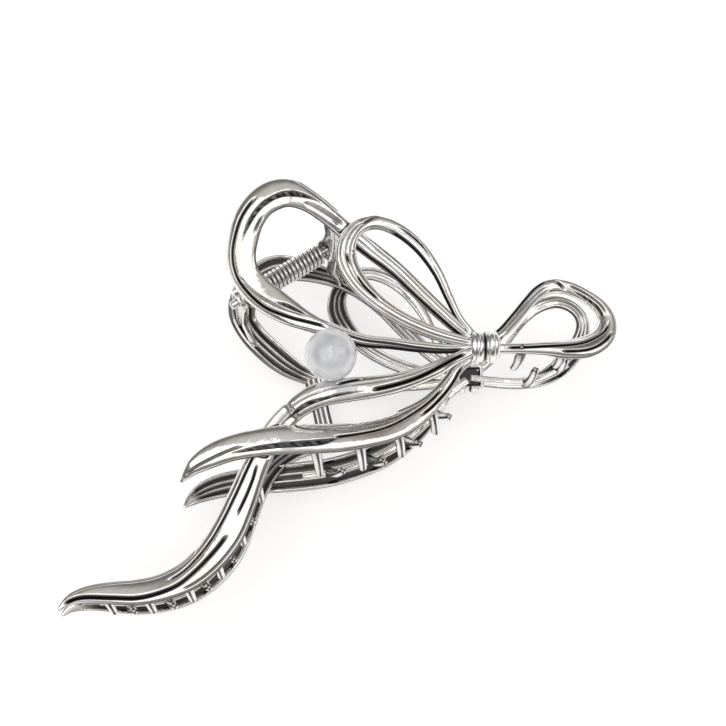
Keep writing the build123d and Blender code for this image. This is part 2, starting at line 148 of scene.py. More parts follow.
# Lines cut into the outside of each ribbon: half width and depth in mm, then
# the line's run as (station, place across).  Across is -1 at the right-hand
# edge of the run and +1 at its left-hand edge.
GROOVES = {
    "big_loop": (
        (0.45, 0.45, ((5.4, -0.1), (6.6, 0.35), (8.0, 0.6), (9.3, 0.45), (12.0, 0.45), (14.1, 0.35))),
        (0.40, 0.30, ((12.2, -0.75), (13.6, -0.8))),
        (1.30, 0.30, ((16.6, -0.6), (17.6, -0.4), (18.6, -0.15))),
        (0.35, 0.25, ((16.0, 0.85), (17.4, 0.8), (18.2, 0.8))),
        (0.35, 0.20, ((6.4, -0.3), (7.3, 0.0), (8.2, 0.15), (9.9, 0.25))),
        (0.30, 0.20, ((18.6, -0.1), (20.4, -0.25), (21.4, -0.3), (24.4, -0.2))),
        (0.30, 0.22, ((18.8, 0.5), (20.6, 0.3), (21.6, 0.3), (24.6, 0.4))),
        (0.45, 0.45, ((18.9, -0.8), (20.0, -0.85), (21.4, -0.8), (24.6, -0.7))),
        (0.35, 0.35, ((0.6, 0.4), (1.9, 0.4), (3.5, 0.15), (5.0, 0.0))),
        (0.45, 0.50, ((0.4, 0.8), (2.0, 0.85), (4.0, 0.85), (5.4, 0.8))),
        (0.30, 0.20, ((0.6, -0.35), (3.0, -0.4), (5.6, -0.5))),
    ),
    "middle_loop": (
        (0.30, 0.20, ((6.7, -0.6), (8.5, -0.65), (10.4, -0.6), (12.0, -0.4), (14.7, -0.3))),
        (0.30, 0.20, ((6.8, -0.15), (8.4, -0.05), (9.9, -0.15), (10.6, 0.05), (11.4, 0.25), (14.7, 0.4))),
        (0.30, 0.22, ((6.5, 0.1), (7.4, 0.5), (8.8, 0.3), (9.9, 0.15), (10.5, 0.05))),
        (0.40, 0.40, ((9.7, 0.2), (10.1, 0.14), (10.6, 0.14), (11.2, 0.24))),
        (0.40, 0.40, ((8.5, 0.0), (8.8, 0.0), (9.1, 0.04), (9.4, 0.06))),
        (0.45, 0.35, ((5.9, -0.9), (6.4, -0.25), (7.0, 0.3))),
        (0.28, 0.20, ((0.5, 0.0), (2.0, 0.1), (3.4, 0.1))),
        (0.40, 0.40, ((0.5, 0.8), (2.0, 0.8), (3.6, 0.85), (5.4, 0.85))),
    ),
    "small_loop": (
        (0.40, 0.45, ((0.6, 0.5), (1.6, 0.65), (2.8, 0.6), (4.0, 0.7), (4.9, 0.8))),
        (0.28, 0.18, ((0.6, 0.0), (2.4, 0.15), (3.6, 0.0), (4.6, 0.2))),
        (0.30, 0.22, ((1.0, -0.6), (3.0, -0.6), (4.6, -0.5))),
        (0.60, 0.70, ((4.9, 0.95), (5.3, 0.6), (5.5, -0.1), (5.9, -0.8))),
        (0.40, 0.50, ((9.1, 0.45), (9.7, 0.1), (10.4, -0.15), (12.2, -0.2), (14.4, 0.0))),
        (0.35, 0.45, ((9.6, 0.75), (10.2, 0.62), (11.4, 0.55), (12.4, 0.5))),
        (0.35, 0.30, ((5.8, 0.3), (7.0, 0.35), (8.6, 0.3))),
    ),
    "long_tail": (
        (0.55, 0.60, ((0.6, 0.0), (2.0, 0.05), (3.0, 0.25), (4.2, 0.3), (5.2, 0.4))),
        (0.30, 0.18, ((1.0, -0.5), (3.0, -0.45), (5.2, -0.3), (7.5, -0.15), (10.0, -0.4))),
        (0.45, 0.45, ((5.3, -0.75), (6.0, -0.6), (6.7, -0.4))),
        (0.40, 0.40, ((10.2, -0.45), (12.0, -0.4), (14.1, -0.5), (15.9, -0.4), (17.6, -0.1))),
        (0.40, 0.40, ((11.6, 0.1), (12.2, 0.3), (13.0, 0.25), (13.6, 0.15))),
        (0.35, 0.30, ((11.2, 0.8), (12.9, 0.85), (14.8, 0.8), (17.2, 0.8))),
        (0.55, 0.65, ((14.2, 0.15), (15.6, 0.1), (16.5, 0.2), (17.3, 0.45),
                      (18.8, 0.62), (20.7, 0.58), (22.2, 0.35), (23.6, 0.3))),
        (0.40, 0.30, ((15.6, -0.8), (18.0, -0.78), (21.5, -0.75), (23.2, -0.6))),
        (4.00, 0.80, ((8.8, 0.0), (9.6, 0.0), (10.4, 0.0), (11.4, 0.0))),
    ),
    "lower_tail": (
        (0.35, 0.35, ((0.8, -0.5), (2.7, -0.65), (4.2, -0.75), (5.4, -0.85))),
        (0.40, 0.40, ((0.8, 0.6), (2.2, 0.7), (3.6, 0.5), (4.6, 0.45))),
        (0.40, 0.40, ((2.6, -0.05), (4.2, -0.1), (5.4, 0.0), (6.7, 0.1), (8.3, 0.1))),
        (0.35, 0.30, ((7.4, -0.7), (8.2, -0.75), (9.0, -0.7))),
        (0.40, 0.30, ((11.2, 0.15), (12.1, 0.28), (13.1, 0.35), (14.2, 0.3), (15.2, 0.05))),
    ),
}

# Leaf-shaped hollows: depth, then (station, place across, half width across).
HOLLOWS = {
    "big_loop": (
        (0.55, ((11.6, -0.05, 0.0), (12.8, -0.22, 0.17), (14.2, -0.31, 0.18), (15.1, -0.27, 0.18),
                (16.0, -0.2, 0.25), (16.6, 0.0, 0.2), (17.1, 0.22, 0.08), (17.5, 0.35, 0.0))),
        (0.40, ((6.2, -0.5, 0.0), (6.7, -0.4, 0.16), (7.1, -0.35, 0.2), (7.5, -0.27, 0.18),
                (7.8, -0.05, 0.0))),
    ),
    "middle_loop": (
        (0.35, ((3.4, -0.25, 0.0), (3.9, -0.28, 0.25), (4.4, -0.28, 0.27), (4.9, -0.2, 0.2),
                (5.1, -0.1, 0.0))),
    ),
    "small_loop": (
        (0.25, ((6.1, -0.2, 0.0), (6.8, -0.25, 0.3), (8.4, -0.25, 0.3), (9.2, -0.2, 0.0))),
    ),
    "long_tail": (
        (0.50, ((5.2, 0.4, 0.0), (6.2, 0.38, 0.13), (7.2, 0.5, 0.15), (8.2, 0.33, 0.23),
                (9.0, 0.3, 0.2), (9.9, 0.1, 0.0))),
    ),
    "lower_tail": (
        (0.45, ((7.9, 0.08, 0.0), (8.6, 0.4, 0.22), (9.4, 0.47, 0.22), (10.8, 0.52, 0.17),
                (11.5, 0.55, 0.1), (12.1, 0.5, 0.0))),
    ),
}

COMBS = {
    "tail_teeth": (
        "long_tail", (11, 21), 2.9, (-63, -57, -50, -43.5, -37, -30), (-60, -53.5, -46.5, -40, -33.5),
    ),
    "centre_teeth": ("lower_tail", (1, 9), 3.4, (-18.2, -10.8, -3.4, 4.4), (-14.5, -7, 0.5, 8)),
    "loop_teeth": ("small_loop", (11, 15), 0.4, (24, 31), (27, 33)),
}


# -------------------------------------------------------------------- helpers
def smoothstep(x):
    x = np.clip(x, 0.0, 1.0)
    return x * x * (3 - 2 * x)


def ripple(a, b, seed):
    """Smooth uneven surface from -1 to 1 over two coordinates, always the same."""
    source = np.random.default_rng(seed)
    total = np.zeros(np.broadcast(a, b).shape)
    for _ in range(6):
        fa, fb = source.uniform(0.4, 1.0, 2)
        phase = source.uniform(0, 2 * math.pi)
        lean = source.uniform(-0.6, 0.6)
        total = total + np.sin(a * fa + b * (fb + lean) + phase)
    return total / 6


def curve_at(stations, s):
    """Values of the smooth run through the stations at the station numbers s."""
    values = np.array(stations, float)
    padded = np.vstack([values[:1], values, values[-1:]])
    i = np.clip(np.floor(s).astype(int), 0, len(values) - 2)
    t = (s - i)[:, None]
    before, start, end, after = (padded[i + k] for k in range(4))
    rise, fall = (end - before) / 2, (after - start) / 2
    bend3 = 2 * start - 2 * end + rise + fall
    bend2 = -3 * start + 3 * end - 2 * rise - fall
    return bend3 * t**3 + bend2 * t**2 + rise * t + start


def even_run(stations, first, last, step):
    """Station numbers an even distance apart along the run, and that distance so far."""
    s = np.linspace(first, last, int((last - first) * 24) + 1)
    points = curve_at(stations, s)[:, :3]
    so_far = np.concatenate([[0], np.cumsum(np.linalg.norm(np.diff(points, axis=0), axis=1))])
    count = max(4, int(so_far[-1] / step) + 1)
    distance = np.linspace(0, so_far[-1], count)
    return np.interp(distance, so_far, s), distance


def section_frames(values):
    """Left-hand and outward directions at each row of x, y, z, width, lean."""
    along = np.gradient(values[:, :3], axis=0)
    along /= np.linalg.norm(along, axis=1)[:, None]
    side = np.cross([0, 0, 1], along)
    side /= np.linalg.norm(side, axis=1)[:, None]
    up = np.cross(along, side)
    lean = np.radians(values[:, 4])[:, None]
    return along, side * np.cos(lean) + up * np.sin(lean), up * np.cos(lean) - side * np.sin(lean)


def soften(line, rows=6):
    """The same line with its corners rounded over a few rows."""
    padded = np.concatenate([np.full(rows, line[0]), line, np.full(rows, line[-1])])
    weights = np.hanning(2 * rows + 3)[1:-1]
    return np.convolve(padded, weights / weights.sum(), mode="valid")


def place(points, back=False):
    """Hinge millimetres to frame metres, mirrored for the back jaw."""
    points = np.array(points, float)
    if back:
        points = points * [1, 1, -1]
    return points * MM + np.array(HINGE)


def rings_to_faces(rows, around, flip):
    """Quads joining closed rings of points, each ring to the next."""
    i = np.arange(rows - 1)[:, None] * around
    j = np.arange(around)[None, :]
    k = (j + 1) % around
    quads = np.stack([i + j, i + k, i + around + k, i + around + j], axis=-1).reshape(-1, 4)
    return quads[:, ::-1] if flip else quads


class Shape:
    """Points and faces gathered for one piece, with how much painted shade each point gets."""

    def __init__(self):
        self.points, self.faces, self.dark, self.count = [], [], [], 0

    def rings(self, rings, dark=None, flip=False):
        """Adds a closed skin through rings of points: array rows x around x 3."""
        rows, around = rings.shape[:2]
        faces = rings_to_faces(rows, around, flip) + self.count
        self.points.append(rings.reshape(-1, 3))
        self.dark.append(np.zeros(rows * around) if dark is None else dark.reshape(-1))
        self.faces.extend(faces.tolist())
        base, self.count = self.count, self.count + rows * around
        for row, reverse in ((0, not flip), (rows - 1, flip)):
            self.points.append(rings[row].mean(axis=0)[None])
            self.dark.append(np.zeros(1))
            ring = base + row * around + np.arange(around)
            for a, b in zip(ring.tolist(), np.roll(ring, -1).tolist()):
                self.faces.append([b, a, self.count] if reverse else [a, b, self.count])
            self.count += 1

    def build(self, name, back, sharp=None):
        points = place(np.concatenate(self.points), back)
        faces = [face[::-1] for face in self.faces] if back else self.faces
        mesh = bpy.data.meshes.new(name)
        mesh.from_pydata(points.tolist(), [], faces)
        # Each point's painted shade goes into this attribute, and the plating mixes it in as a dark colour.
        mesh.attributes.new("painted_shade", "FLOAT", "POINT").data.foreach_set("value", np.concatenate(self.dark))
        mesh.shade_smooth()
        if sharp:
            mesh.set_sharp_from_angle(angle=math.radians(sharp))
        piece = bpy.data.objects.new(name, mesh)
        bpy.context.scene.collection.objects.link(piece)
        return piece


# -------------------------------------------------------------------- ribbons
def across_points():
    """Places across the outside, closer together near both edges."""
    even = np.linspace(-1, 1, OUTER_POINTS)
    return 0.62 * even + 0.38 * np.sin(even * math.pi / 2)


def carved(name, s, distance, half, u):
    """How much is cut away from the outside, and the painted shade in the cut lines and hollows."""
    cut = np.zeros((len(s), len(u)))
    dark = np.zeros_like(cut)
    reach = half[:, None]
    for width, depth, line in GROOVES[name]:
        at, place_across = zip(*line)
        middle = soften(np.interp(s, at, place_across))[:, None]
        start, end = np.interp([at[0], at[-1]], s, distance)
        strength = smoothstep((distance - start) / 1.5) * smoothstep((end - distance) / 1.5)
        away = np.abs(u[None, :] - middle) * reach
        share = np.clip(1 - away / width, 0, 1)
        cut = np.maximum(cut, depth * strength[:, None] * share**1.6)
        # Painted shade along each narrow line, stronger for deeper lines.
        line_dark = np.clip(1.6 - away / (0.6 * width), 0, 1) if width < 1 else 0 * away
        dark = np.maximum(dark, strength[:, None] * line_dark * min(1.0, (depth / 0.38) ** 1.5))
    for depth, leaf in HOLLOWS[name]:
        at, place_across, spread = zip(*leaf)
        middle = soften(np.interp(s, at, place_across))[:, None]
        hollow = soften(np.interp(s, at, spread))[:, None]
        inside = (hollow - np.abs(u[None, :] - middle)) * reach
        floor = smoothstep(inside / 0.2)
        rough = 0.8 + 0.2 * ripple(distance[:, None] * 5.1, u[None, :] * reach * 6.3, 11)
        cut = np.maximum(cut, depth * floor * rough)
        # Painted shade over the floor of each hollow.
        dark = np.maximum(dark, floor * np.clip(rough + 0.15, 0, 1))
    return cut, dark


def ribbon(name, back, seed):
    """Cast ribbon: crowned and grooved outside, hollowed between two rims inside."""
    stations = (BACK_RIBBONS if back else RIBBONS)[name]
    s, distance = even_run(stations, 0, len(stations) - 1, ROW_STEP)
    values = curve_at(stations, s)
    along, side, up = section_frames(values)
    half = np.maximum(values[:, 3], 0.5) / 2
    size = np.clip(values[:, 3] / FULL_WIDTH, 0, 1)
    u = across_points()
    crown = (1 - np.abs(u) ** 2.5) ** 0.62
    crest = EDGE + (CREST - EDGE) * crown
    uneven = 0.035 * ripple(distance[:, None] * 0.9, u[None, :] * half[:, None] * 1.3, seed)
    cut, dark = carved(name, s, distance, half, u)
    outer = size[:, None] * (crest[None, :] + uneven * crown[None, :]) - cut * size[:, None]
    outer = np.maximum(outer, DEEPEST_CUT)

    v = np.linspace(1, -1, INNER_POINTS)[1:-1]
    rim = smoothstep((np.abs(v) - 0.66) / 0.14)
    rib = np.exp(-((np.abs(v) - 0.24) / 0.1) ** 2)
    belly = -EDGE - (BELLY - EDGE) * (1 - v**2)
    channelled = -0.1 - 0.6 * rim - 0.32 * rib
    broad = smoothstep((values[:, 3] - 2.2) / 1.2)[:, None]
    inner = size[:, None] * (belly[None, :] * (1 - broad) + channelled[None, :] * broad)
    # Painted shade in the channel between the inside rims.
    inner_dark = 0.95 * broad * (1 - rim - rib).clip(0, 1)[None, :]
    # Painted shade along both outside edges.
    edge_dark = smoothstep((np.abs(u) - 0.965) / 0.035)[None, :]
    dark = np.maximum(dark, 0.9 * edge_dark)

    wall = np.array([0.55, 0.0, -0.55]) * EDGE
    wall_out = np.array([1.0, 1.015, 1.0])
    rows = len(s)
    wall_height = np.tile(wall, (rows, 1)) * size[:, None]
    across = np.concatenate([
        np.tile(u, (rows, 1)), np.tile(wall_out, (rows, 1)),
        np.tile(v, (rows, 1)), np.tile(-wall_out, (rows, 1)),
    ], axis=1) * half[:, None]
    height = np.concatenate([outer, wall_height, inner, wall_height[:, ::-1]], axis=1)
    # Painted shade on the side walls.
    wall_dark = np.full((rows, 3), 0.9)
    shade = np.concatenate([dark, wall_dark, inner_dark, wall_dark], axis=1)
    rings = (
        values[:, None, :3]
        + side[:, None, :] * across[..., None]
        + up[:, None, :] * height[..., None]
    )

    if name.endswith("tail"):
        steps = np.array([0.5, 0.8, 0.95])
        middle = rings[-1].mean(axis=0)
        ahead = steps[:, None, None] * along[-1] * half[-1]
        tips = middle + (rings[-1] - middle)[None] * np.sqrt(1 - steps**2)[:, None, None] + ahead
        rings = np.concatenate([rings, tips])
        shade = np.concatenate([shade, np.repeat(shade[-1:], 3, axis=0)])

    shape = Shape()
    shape.rings(rings, shade, flip=True)
    return shape


# ----------------------------------------------------------------- round work
def tube(shape, points, radii, sides, squash=1.0, dark=None):
    """Adds a round bar along the points, domed at both ends."""
    points = np.array(points, float)
    radii = np.broadcast_to(np.array(radii, float), len(points))
    along = np.gradient(points, axis=0)
    along /= np.linalg.norm(along, axis=1)[:, None]
    normal = np.cross(along[0], [0.31, 0.72, 0.62])
    normals = []
    for direction in along:
        normal = normal - direction * normal.dot(direction)
        normal = normal / np.linalg.norm(normal)
        normals.append(normal)
    normals = np.array(normals)
    binormals = np.cross(along, normals)
    angle = np.linspace(0, 2 * math.pi, sides, endpoint=False)
    circle = (
        normals[:, None, :] * np.cos(angle)[None, :, None]
        + binormals[:, None, :] * np.sin(angle)[None, :, None] * squash
    )
    rings = points[:, None, :] + circle * radii[:, None, None]
    dome = np.array([0.96, 0.8, 0.5])
    shrink = np.sqrt(1 - dome**2)
    start = points[0] - along[0] * radii[0] * dome[:, None]
    end = points[-1] + along[-1] * radii[-1] * dome[:, None]
    cap_start = start[:, None, :] + circle[0][None] * (radii[0] * shrink)[:, None, None]
    cap_end = end[::-1, None, :] + circle[-1][None] * (radii[-1] * shrink[::-1])[:, None, None]
    shade = None
    if dark is not None:
        inner = dark(circle, points)
        shade = np.concatenate([np.repeat(inner[:1], 3, axis=0), inner, np.repeat(inner[-1:], 3, axis=0)])
    shape.rings(np.concatenate([cap_start, rings, cap_end]), shade)


def lathe(shape, profile, origin, axis, across, steps, wobble=None, dark=None, flat=None):
    """Adds a turned skin: profile points are (distance along axis, radius).

    With flat, the skin is cut off that far below the axis and hollowed there, and the hollow gets painted
    shade.
    """
    profile = np.array(profile, float)
    angle = np.linspace(0, 2 * math.pi, steps, endpoint=False)
    axis, across = np.array(axis, float), np.array(across, float)
    other = np.cross(axis, across)
    radius = np.repeat(profile[:, 1:2], steps, axis=1)
    if wobble is not None:
        radius = radius + wobble(profile[:, 0:1], angle[None, :])
    shade = None if dark is None else dark(profile[:, 0:1], angle[None, :])
    high, wide = radius * np.cos(angle), radius * np.sin(angle)
    if flat is not None:
        within = smoothstep((KNOT_HOLLOW_ACROSS - np.abs(wide)) / 0.5)
        within = within * smoothstep((KNOT_HOLLOW_ALONG - np.abs(profile[:, 0:1])) / 0.4)
        # Painted shade in the hollow underneath.
        shade = np.where(high < -flat, 0.95 * within, shade)
        high = np.maximum(high, -flat + KNOT_HOLLOW * within)
    rings = (
        np.array(origin) + axis * profile[:, 0, None, None]
        + across * high[..., None] + other * wide[..., None]
    )
    shape.rings(rings, shade)


# --------------------------------------------------------------------- pieces
def tooth_shade(around, points):
    """Painted shade: four dark stripes down each round tooth as if fluted, darkest at the root where it
    meets the fin, a little darker at the tip.
    """
    turn = np.arctan2(around[..., 1], around[..., 0])
    flutes = np.clip(1.5 * np.cos(4 * turn + 0.9) - 0.1, 0, 1)
    down = np.linspace(0, 1, len(points))[:, None]
    return np.clip(0.9 * flutes + (1 - down) ** 4 + 0.25 * down**10 + 0.04, 0, 1)


def wire_shade(around, points):
    """Painted shade where a turn of the coil faces the next turn or the pin."""
    outward = points * [0, 1, 1]
    outward = outward / np.linalg.norm(outward, axis=1)[:, None]
    facing = (around * outward[:, None, :]).sum(axis=2)
    return smoothstep((0.70 - facing) / 0.4)


def comb(name, back):
    """Rounded fin under a ribbon, with its teeth standing on it."""
    ribbon_name, (first, last), splay, front_teeth, back_teeth = COMBS[name]
    stations = (BACK_RIBBONS if back else RIBBONS)[ribbon_name]
    s, distance = even_run(stations, first, last, 0.4)
    values = curve_at(stations, s)
    along, side, up = section_frames(values)
    turn = np.linspace(0, 2 * math.pi, 28, endpoint=False)
    x = np.sign(np.cos(turn)) * np.abs(np.cos(turn)) ** 0.5 * FIN_WIDTH / 2
    y = np.sign(np.sin(turn)) * np.abs(np.sin(turn)) ** 0.5 * FIN_HEIGHT / 2
    swell = 1 + 0.05 * ripple(distance * 0.8, 0 * distance, 5)
    rings = (
        values[:, None, :3]
        + side[:, None, :] * (x[None, :] * swell[:, None])[..., None]
        + up[:, None, :] * (y[None, :] * swell[:, None] - FIN_DROP)[..., None]
    )
    shape = Shape()
    shape.rings(rings)
    for tooth_x in back_teeth if back else front_teeth:
        order = np.argsort(values[:, 0])
        at_y, at_z = (np.interp(tooth_x, values[order, 0], values[order, k]) for k in (1, 2))
        root = np.array([tooth_x, at_y, at_z - BELLY / 2])
        tip = np.array([tooth_x, at_y - splay, TOOTH_TIP - TOOTH_PAST])
        t = np.linspace(0, 1, 22)
        bow = np.sin(t * math.pi)[:, None] * np.array([0, -0.35, 0])
        run = root + (tip - root) * t[:, None] + bow
        radii = TOOTH_TIP + (TOOTH_ROOT - TOOTH_TIP) * (1 - t) ** 1.4
        tube(shape, run, radii, 40, 0.86, tooth_shade)
    return shape


def knot_wrap():
    """Two turns of ribbon round the knot, each with a crease that wanders."""
    def wobble(along, angle):
        creases = 0
        for middle, seed in ((-1.9, 1), (-0.9, 2), (0.8, 3), (1.8, 4)):
            wander = middle + 0.22 * np.sin(angle + seed * 1.7) + 0.1 * np.sin(2 * angle + seed)
            creases = creases - 0.16 * np.exp(-((along - wander) / 0.16) ** 2)
        return creases + 0.05 * np.sin(3 * angle + along)

    # Painted shade along the middle, where the two turns meet, and in the creases.
    def dark(along, angle):
        return np.exp(-(along / 0.3) ** 2) + 0 * angle - 2.2 * np.minimum(wobble(along, angle) + 0.05, 0)

    t = np.linspace(-1, 1, 73)
    inside_band = np.abs(np.sin(t * math.pi)) ** 0.5
    radius = KNOT_RADIUS - 0.2 + (KNOT_CREST - KNOT_RADIUS + 0.2) * inside_band
    radius[[0, -1]] = 1.6
    shape = Shape()
    profile = np.column_stack([t * KNOT_BAND, radius])
    upright = Vector((0, 0, 1))
    lathe(shape, profile, KNOT, KNOT_DIRECTION, upright, 128, wobble, dark, KNOT_FLAT)
    return shape


def pearl_seat(back):
    """Ribbed bar bridging two ribbons; the front one has the pearl's cup and peg."""
    x, y, z = PEARL_AT
    shape = Shape()
    turn = math.radians(SEAT_TURN)
    along = np.array([-math.sin(turn), math.cos(turn), 0])
    side = np.array([math.cos(turn), math.sin(turn), 0])
    t = np.linspace(-1, 1, 60)
    middle = np.array([x, y, CUP_BOTTOM + 0.5]) + along * (t * SEAT_LENGTH / 2)[:, None]
    angle = np.linspace(0, 2 * math.pi, 96, endpoint=False)
    wide = np.sign(np.cos(angle)) * np.abs(np.cos(angle)) ** 0.5
    tall = np.sign(np.sin(angle)) * np.abs(np.sin(angle)) ** 0.5
    channels = 0.5 - 0.5 * np.cos(wide * 3.5 * math.pi)
    tall = tall * (1 - 0.32 * channels)
    waist = 1 - 0.1 * np.cos(t * math.pi / 2)
    width = BACK_SEAT_WIDTH if back else SEAT_WIDTH
    rings = (
        middle[:, None, :]
        + side * (wide[None, :] * waist[:, None] * width / 2)[..., None]
        + np.array([0, 0, 1]) * np.broadcast_to(tall * 0.7, (len(t), len(tall)))[..., None]
    )
    # Painted shade in the channels between the ribs.
    shape.rings(rings, np.broadcast_to(channels**2, (len(t), len(channels))).copy(), flip=True)
    if back:
        return shape
    cup_top = z - 0.86 * PEARL_RADIUS
    dish = [(z - math.sqrt((PEARL_RADIUS + 0.02) ** 2 - r * r), r) for r in np.linspace(0.02, 2.32, 12)]
    rim = [(cup_top, 2.5), (cup_top, 2.8), (cup_top - 0.06, 2.94), (cup_top - 0.2, CUP_RADIUS)]
    foot = [(CUP_BOTTOM + 0.5, CUP_RADIUS - 0.1), (CUP_BOTTOM + 0.15, 2.8), (CUP_BOTTOM, 2.6)]
    lathe(shape, (dish + rim + foot)[::-1], (x, y, 0), (0, 0, 1), (1, 0, 0), 72)
    peg_top = z - PEARL_RADIUS + PEG_DEPTH - 0.2 - PEG_RADIUS
    tube(shape, [(x, y, h) for h in np.linspace(CUP_BOTTOM + 1, peg_top, 8)], PEG_RADIUS, 20)
    return shape


def pearl():
    """Bead with a drilled hole underneath and a barely uneven surface."""
    def wobble(along, angle):
        return 0.02 * ripple(along * 0.8, np.cos(angle) * 2.1 + np.sin(angle) * 1.4, 3) * (along > -4.3)

    hole_top = -PEARL_RADIUS + PEG_DEPTH
    rise = np.linspace(-math.pi / 2 + 0.15, math.pi / 2 - 0.004, 80)
    hole = [(hole_top, 0.02), (hole_top, PEG_RADIUS), (-PEARL_RADIUS + 0.25, PEG_RADIUS)]
    ball = [(PEARL_RADIUS * math.sin(a), PEARL_RADIUS * math.cos(a)) for a in rise]
    shape = Shape()
    lathe(shape, hole + ball, PEARL_AT, (0, 0, 1), (1, 0, 0), 128, wobble)
    return shape


def hinge_pin():
    """Rivet: chamfered at the left, domed head at the right."""
    end = PIN_RIGHT + PIN_HEAD
    profile = [
        (PIN_LEFT, 0.02), (PIN_LEFT, 0.5), (PIN_LEFT + 0.05, 0.58), (PIN_LEFT + 0.25, 0.78),
        (PIN_LEFT + 0.32, PIN_RADIUS), (-8, PIN_RADIUS), (0, PIN_RADIUS), (PIN_RIGHT - 0.05, PIN_RADIUS),
        (PIN_RIGHT, PIN_RADIUS + 0.05), (PIN_RIGHT, 1.3), (PIN_RIGHT + 0.06, 1.38),
        (PIN_RIGHT + 0.25, PIN_HEAD_RADIUS), (end - 0.2, 1.26), (end - 0.06, 1.0), (end, 0.6), (end, 0.02),
    ]
    shape = Shape()
    lathe(shape, profile, (0, 0, 0), (1, 0, 0), (0, 1, 0), 48)
    return shape


def torsion_spring():
    """Closely wound wire round the pin, a hooked leg at each end."""
    right = COIL_LEFT + COIL_PITCH * COIL_TURNS
    bend = 0.9
    corner = np.linspace(0, math.pi / 2, 7)

    def leg(x, way):
        """From the hook's end to the coil, for a leg that runs way along Z."""
        hook = [(x - way * HOOK_LENGTH * t, COIL_RADIUS, way * LEG_LENGTH) for t in (1, 0.7, 0.4)]
        elbow = [
            (x - way * bend * (1 - math.sin(a)), COIL_RADIUS, way * (LEG_LENGTH - bend * (1 - math.cos(a))))
            for a in corner
        ]
        straight = [(x, COIL_RADIUS, way * h) for h in np.linspace(LEG_LENGTH - bend - 0.5, 0.4, 16)]
        return hook + elbow + straight

    turn = np.linspace(0, COIL_TURNS * 2 * math.pi, COIL_TURNS * 30)
    coil = np.column_stack([
        COIL_LEFT + COIL_PITCH * turn / (2 * math.pi),
        COIL_RADIUS * np.cos(turn),
        -COIL_RADIUS * np.sin(turn),
    ])
    path = np.concatenate([leg(COIL_LEFT, 1), coil, leg(right, -1)[::-1]])
    shape = Shape()
    tube(shape, path, WIRE_RADIUS, 16, 1.0, wire_shade)
    return shape


def inset(outline, amount):
    """The outline moved inwards, for one that runs anticlockwise."""
    ahead = np.roll(outline, -1, axis=0) - outline
    ahead /= np.linalg.norm(ahead, axis=1)[:, None]
    behind = np.roll(ahead, 1, axis=0)
    inward = np.column_stack([-(ahead + behind)[:, 1], (ahead + behind)[:, 0]])
    inward /= np.linalg.norm(inward, axis=1)[:, None]
    return outline + inward * amount


def lug(x_face, top, back):
    """Bevelled plate up to the ribbon: a sunk panel each side and a bored barrel."""
    rear, front = top
    arc = np.linspace(math.pi + 0.25, 2 * math.pi - 0.25, 22)
    barrel = [(BARREL_RADIUS * math.cos(a), BARREL_RADIUS * math.sin(a)) for a in arc]
    corners = [(2.22, 0.6), (1.8, 2.4), (1.1, 5), (0.75, 7.5), (0.6, 10), front, rear, (-2.1, 10),
               (-2.2, 7), (-2.25, 3), (-2.3, 0.6)]
    outline = np.array(barrel + corners)
    bore = PIN_RADIUS + (0.0 if back else 0.05)
    angle = np.linspace(0, 2 * math.pi, 32, endpoint=False)
    circle = np.column_stack([np.cos(angle), np.sin(angle)])
    far = x_face + LUG_THICKNESS
    # The third value in each step is painted shade: dark round the rim of the sunk panel and round and
    # inside the bore.
    rim = (
        (PANEL_DEPTH, 0.90, 0.2), (PANEL_DEPTH, 0.72, 1), (0.04, 0.60, 0.8), (0, 0.52, 0),
        (0, 0.24, 0), (0.08, 0.07, 0), (0.24, 0, 0),
    )
    edge = (
        (PANEL_DEPTH, 0.28, 0.2), (PANEL_DEPTH, 0.16, 0.9), (PANEL_DEPTH, 0.14, 0.9),
        (PANEL_DEPTH, 0.12, 0.8), (PANEL_DEPTH + 0.08, 0.05, 0.4),
        (PANEL_DEPTH + 0.16, 0.01, 0.4), (PANEL_DEPTH + 0.24, 0, 0.4),
    )

    def both_sides(steps):
        near = [(x_face + x, amount, shade) for x, amount, shade in steps]
        return near + [(far - x, amount, shade) for x, amount, shade in steps[::-1]]

    bm = bmesh.new()
    # Painted shade for each point, gathered loop by loop.
    painted_shade_term = []

    def add_loop(points, x, shade):
        painted_shade_term.extend([shade] * len(points))
        return [bm.verts.new((x, y, z)) for y, z in points]

    def join(one, two, flip):
        for i in range(len(one)):
            k = (i + 1) % len(one)
            quad = (one[i], one[k], two[k], two[i])
            bm.faces.new(quad[::-1] if flip else quad)

    outer = [add_loop(inset(outline, amount), x, shade) for x, amount, shade in both_sides(rim)]
    inner = [add_loop(circle * (bore + amount), x, shade) for x, amount, shade in both_sides(edge)]
    for one, two in zip(outer, outer[1:]):
        join(one, two, True)
    for one, two in zip(inner, inner[1:]):
        join(one, two, False)
    for loops in ((outer[0], inner[0]), (outer[-1], inner[-1])):
        edges = []
        for loop in loops:
            for i in range(len(loop)):
                edges.append(bm.edges.get((loop[i], loop[(i + 1) % len(loop)])))
        bmesh.ops.triangle_fill(bm, use_beauty=True, edges=edges)
    bmesh.ops.recalc_face_normals(bm, faces=bm.faces)
    bm.verts.index_update()
    shape = Shape()
    shape.points.append(np.array([tuple(vert.co) for vert in bm.verts]))
    shape.dark.append(np.array(painted_shade_term, float))
    shape.faces = [[vert.index for vert in face.verts] for face in bm.faces]
    bm.free()
    return shape


# ------------------------------------------------------------------ materials
def new_material(name):
    material = bpy.data.materials.new(name)
    material.use_nodes = True
    tree = material.node_tree
    tree.nodes.clear()
    shader = tree.nodes.new("ShaderNodeBsdfPrincipled")
    output = tree.nodes.new("ShaderNodeOutputMaterial")
    tree.links.new(shader.outputs["BSDF"], output.inputs["Surface"])
    return material, tree, shader


